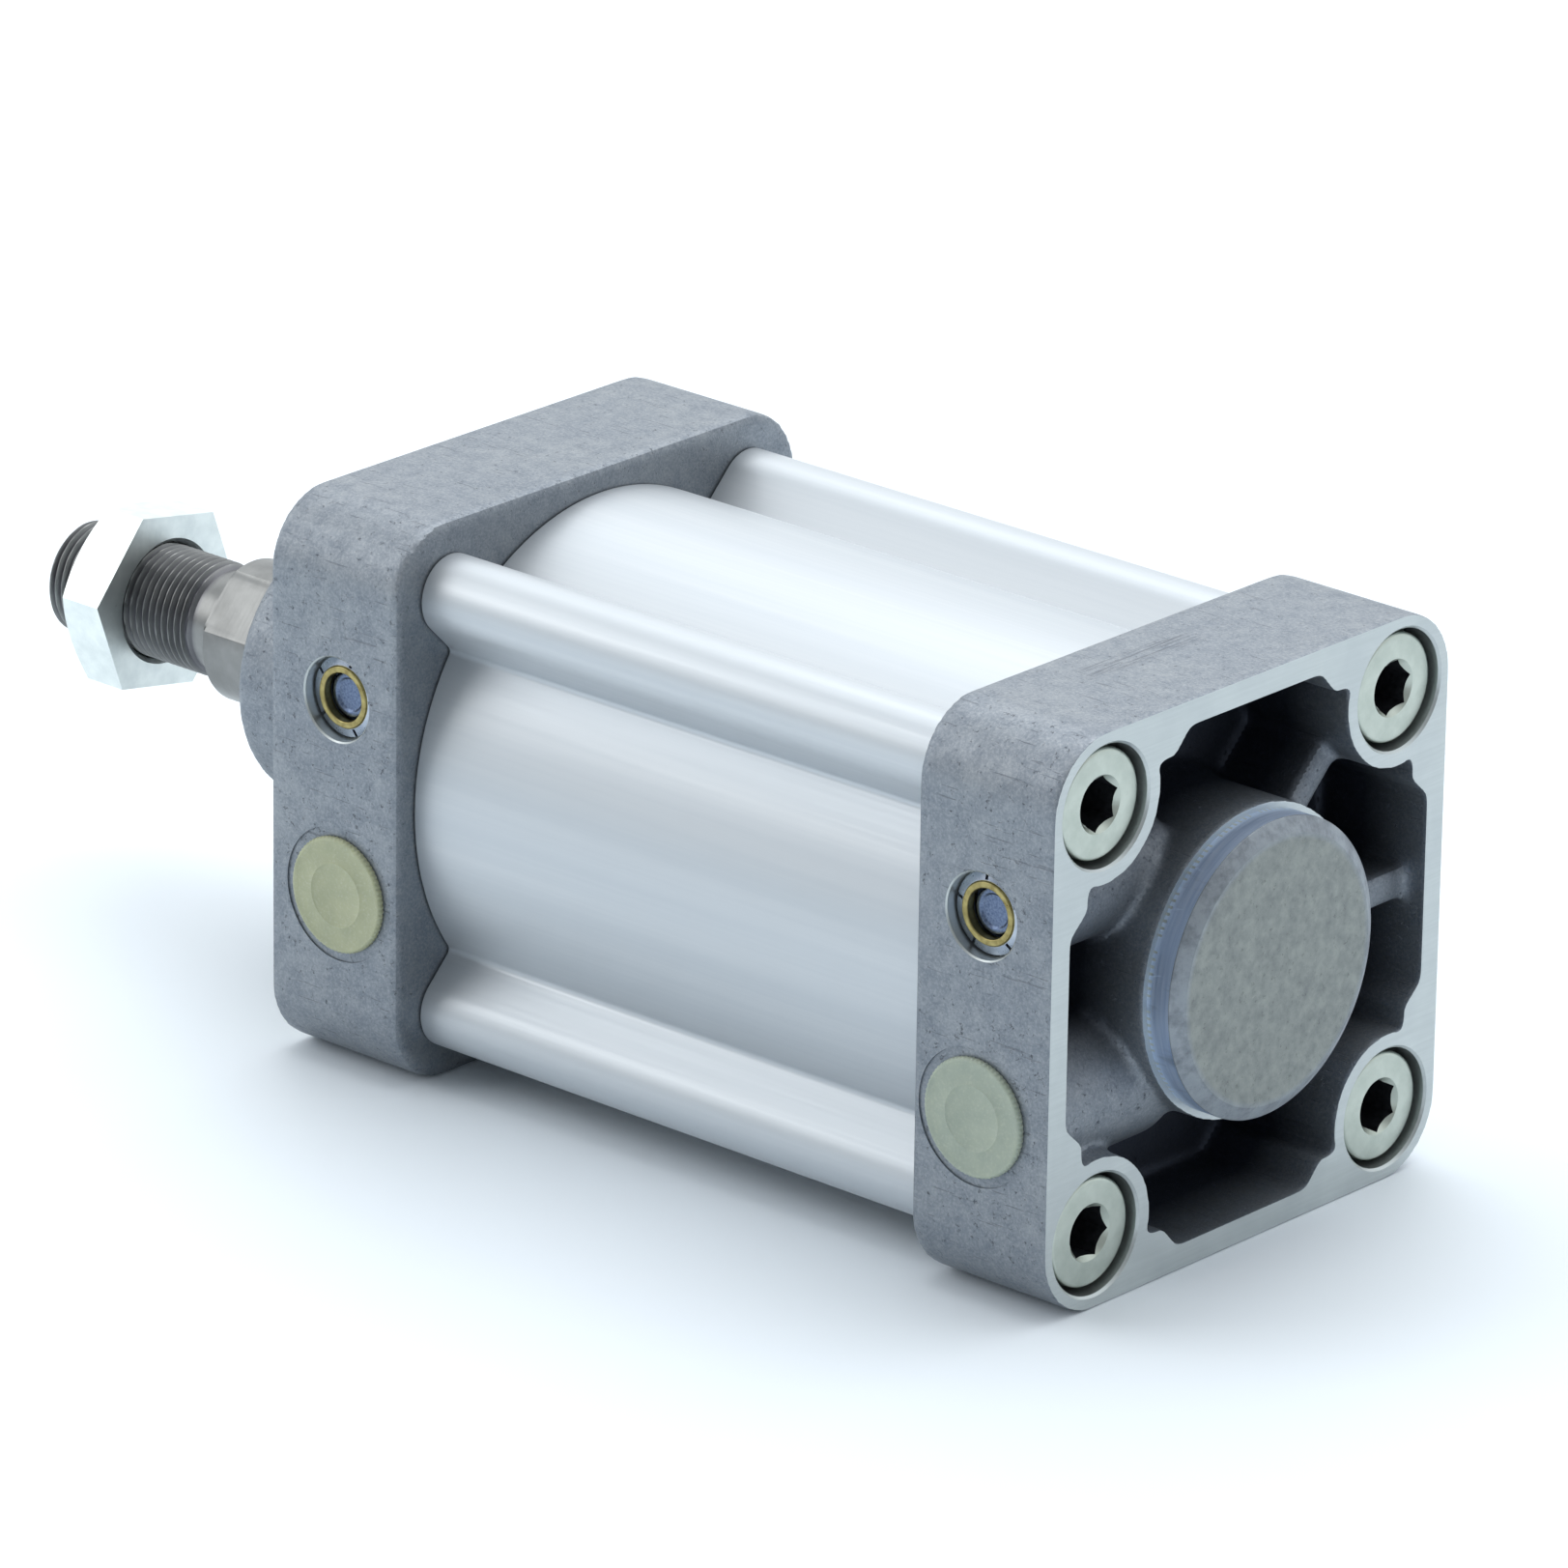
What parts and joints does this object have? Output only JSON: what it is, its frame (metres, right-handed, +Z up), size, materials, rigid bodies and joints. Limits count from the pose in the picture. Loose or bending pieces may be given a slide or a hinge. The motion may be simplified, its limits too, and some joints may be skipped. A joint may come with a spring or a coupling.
{
  "type": "pneumatic cylinder",
  "caption": "Double-acting pneumatic cylinder with cast square end caps, profile barrel, threaded piston rod with locknut, and cushion adjusting screws.",
  "frame": {"origin": "centre of the rear boss's flat end face, on the cylinder's axis", "axes": "+X along the cylinder's axis from the rod towards the rear cap, air ports on the -Y side, +Z up"},
  "size_m": [0.266, 0.0976, 0.0968],
  "materials": {
    "cast_aluminium": "die-cast aluminium, matte grey-blue, fine mottling; machined faces satin",
    "barrel_anodised": "satin silver anodised extruded aluminium",
    "zinc_screw": "pale greenish silver zinc plating, satin",
    "nut_zinc": "bright blue-white zinc plating, glossy",
    "rod_steel": "ground steel, thread brown-grey",
    "brass_ring": "yellow brass, slightly worn",
    "adjuster_steel": "grey-blue steel",
    "plug_plastic": "pale yellow-green moulded plastic",
    "seal_rubber": "black elastomer",
    "bush_bronze": "sintered bronze",
    "piston_aluminium": "turned aluminium",
    "guide_plastic": "dark bearing plastic",
    "magnet_ferrite": "plastic-bonded ferrite"
  },
  "bodies": {
    "cylinder_body": {"barrel": "barrel_anodised", "front_barrel_seal": "seal_rubber", "front_cap": "cast_aluminium", "front_cap_screw_1": "zinc_screw", "front_cap_screw_2": "zinc_screw", "front_cap_screw_3": "zinc_screw", "front_cap_screw_4": "zinc_screw", "front_cushion_seal": "seal_rubber", "front_retaining_ring": "brass_ring", "rear_barrel_seal": "seal_rubber", "rear_cap": "cast_aluminium", "rear_cap_screw_1": "zinc_screw", "rear_cap_screw_2": "zinc_screw", "rear_cap_screw_3": "zinc_screw", "rear_cap_screw_4": "zinc_screw", "rear_cushion_seal": "seal_rubber", "rear_retaining_ring": "brass_ring", "rod_bearing_bush": "bush_bronze", "rod_wiper_seal": "seal_rubber"},
    "piston_seals": {"piston_guide_ring": "guide_plastic", "rear_piston_seal": "seal_rubber", "front_piston_seal": "seal_rubber"},
    "rod": {"piston_rod": "rod_steel", "rear_piston_half": "piston_aluminium", "front_piston_half": "piston_aluminium", "rear_cushion_sleeve": "piston_aluminium", "front_cushion_sleeve": "piston_aluminium", "piston_magnet_ring": "magnet_ferrite", "piston_nut": "nut_zinc", "piston_bore_seal": "seal_rubber"},
    "lock_nut": {"rod_lock_nut": "nut_zinc"},
    "rear_adjuster_seal": {"rear_cushion_screw_seal": "seal_rubber"},
    "rear_adjuster": {"rear_cushion_screw": "adjuster_steel"},
    "rear_plug": {"rear_port_plug": "plug_plastic"},
    "front_adjuster_seal": {"front_cushion_screw_seal": "seal_rubber"},
    "front_adjuster": {"front_cushion_screw": "adjuster_steel"},
    "front_plug": {"front_port_plug": "plug_plastic"}
  },
  "joints": [
    {"name": "rod_slide", "type": "slide", "parent": "cylinder_body", "child": "piston_seals", "axis": [-1, 0, 0], "range_m": [-0.006, 0.034]},
    {"name": "rod_turn", "type": "hinge", "parent": "piston_seals", "child": "rod", "pos_m": [-0.2, 0, 0], "axis": [-1, 0, 0], "continuous": true},
    {"name": "lock_nut_turn", "type": "hinge", "parent": "rod", "child": "lock_nut", "pos_m": [-0.251, 0, 0], "axis": [-1, 0, 0], "continuous": true},
    {"name": "rear_adjuster_travel", "type": "slide", "parent": "cylinder_body", "child": "rear_adjuster_seal", "axis": [0, -1, 0], "range_m": [-0.00101, 0.00121]},
    {"name": "rear_adjuster_turn", "type": "hinge", "parent": "rear_adjuster_seal", "child": "rear_adjuster", "pos_m": [-0.0205, -0.04, 0.0173], "axis": [0, -1, 0], "range_deg": [-450, 540]},
    {"name": "rear_plug_pull", "type": "slide", "parent": "cylinder_body", "child": "rear_plug", "axis": [0, -1, 0], "range_m": [0, 0.012]},
    {"name": "front_adjuster_travel", "type": "slide", "parent": "cylinder_body", "child": "front_adjuster_seal", "axis": [0, -1, 0], "range_m": [-0.00101, 0.00121]},
    {"name": "front_adjuster_turn", "type": "hinge", "parent": "front_adjuster_seal", "child": "front_adjuster", "pos_m": [-0.1595, -0.04, 0.0173], "axis": [0, -1, 0], "range_deg": [-450, 540]},
    {"name": "front_plug_pull", "type": "slide", "parent": "cylinder_body", "child": "front_plug", "axis": [0, -1, 0], "range_m": [0, 0.012]}
  ],
  "couplings": [
    {"joint": "rear_adjuster_travel", "follows": "rear_adjuster_turn", "m_per_rad": 0.00012732},
    {"joint": "front_adjuster_travel", "follows": "front_adjuster_turn", "m_per_rad": 0.00012732}
  ]
}
